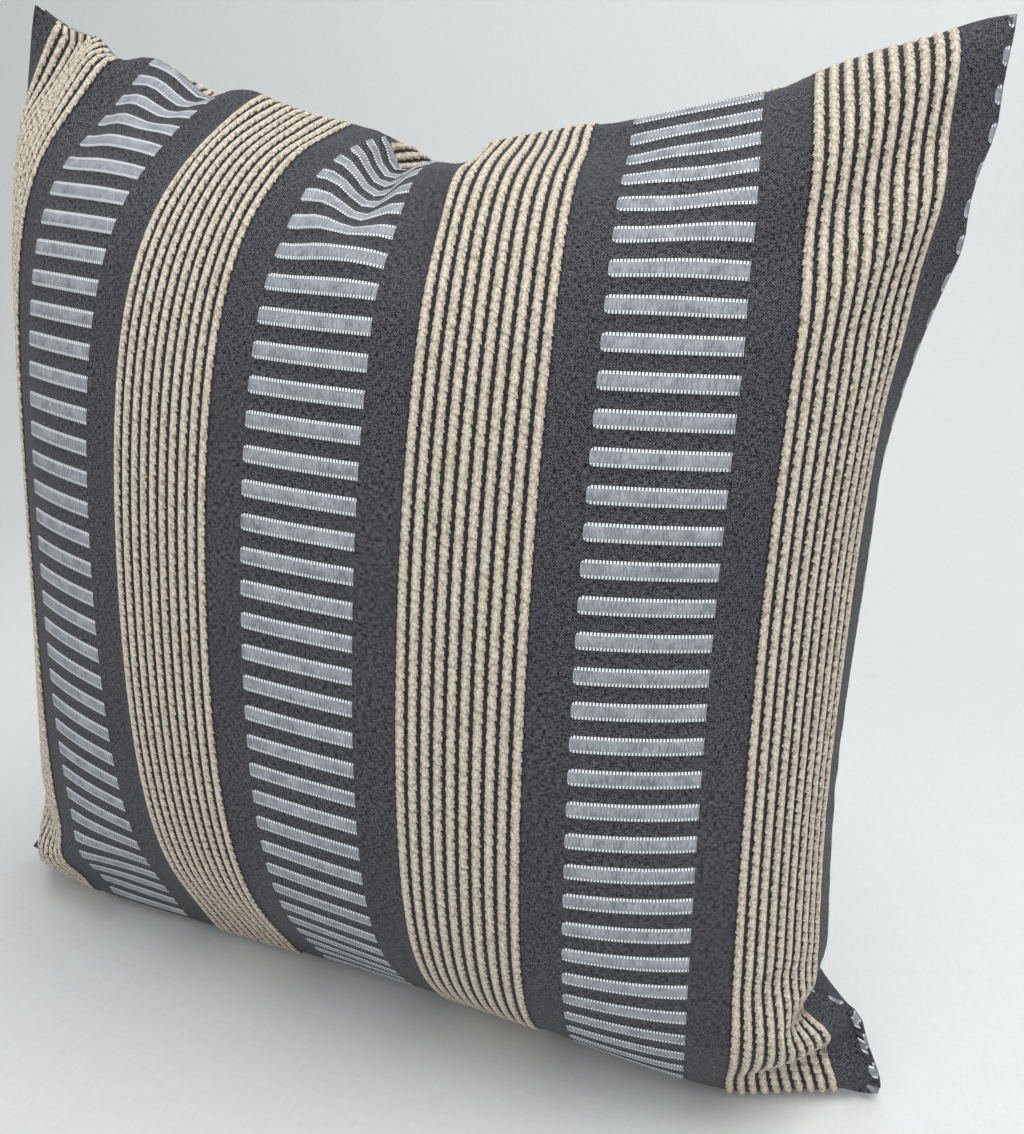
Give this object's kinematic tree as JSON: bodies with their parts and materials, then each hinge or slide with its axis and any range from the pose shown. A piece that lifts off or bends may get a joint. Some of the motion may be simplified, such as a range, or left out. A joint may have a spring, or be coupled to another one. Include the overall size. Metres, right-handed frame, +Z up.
{
  "type": "throw pillow",
  "caption": "Square knife-edge throw pillow in a striped woven cover with raised ribs and ladder bars, zipped at the bottom over a fibre pad, standing on its bottom edge.",
  "frame": {"origin": "middle of the flat base that the pillow stands on, in the seam plane", "axes": "+Z up along the pillow's height; +X along its width; the front panel faces -Y and the back panel +Y"},
  "size_m": [0.5, 0.1828, 0.482],
  "materials": {
    "cover_cloth": "charcoal woven cloth with raised cream chenille ribs and light grey-blue ladder bars, matt",
    "cover_thread": "charcoal sewing thread",
    "zip_tape": "fine twill tape, matt",
    "zip_coil": "nylon coil, satin",
    "zip_metal": "nickel-plated, satin",
    "insert_cloth": "plain white cotton, matt",
    "insert_thread": "white sewing thread",
    "fibre": "loose white polyester fibre"
  },
  "bodies": {
    "pillow": {"cover_front_panel": "cover_cloth", "cover_back_panel": "cover_cloth", "cover_seam_thread": "cover_thread", "zip_tape_front": "zip_tape", "zip_tape_back": "zip_tape", "zip_coil_front": "zip_coil", "zip_coil_back": "zip_coil", "zip_stitch_front": "cover_thread", "zip_stitch_back": "cover_thread", "zip_top_stop_front": "zip_metal", "zip_top_stop_back": "zip_metal", "zip_bottom_stop": "zip_metal", "insert_shell_front": "insert_cloth", "insert_shell_back": "insert_cloth", "insert_seam_thread": "insert_thread", "insert_closing_stitch": "insert_thread", "fibre_fill": "fibre"},
    "zip_slider": {"zip_slider": "zip_metal"},
    "zip_pull_tab": {"zip_pull_tab": "zip_metal"}
  },
  "joints": [
    {"name": "zip_slide", "type": "slide", "parent": "pillow", "child": "zip_slider", "axis": [1, 0, 0], "range_m": [-0.37, 0]},
    {"name": "pull_tab_swing", "type": "hinge", "parent": "zip_slider", "child": "zip_pull_tab", "pos_m": [0.183, 0, 0.0031], "axis": [0, -1, 0], "range_deg": [0, 170]}
  ]
}
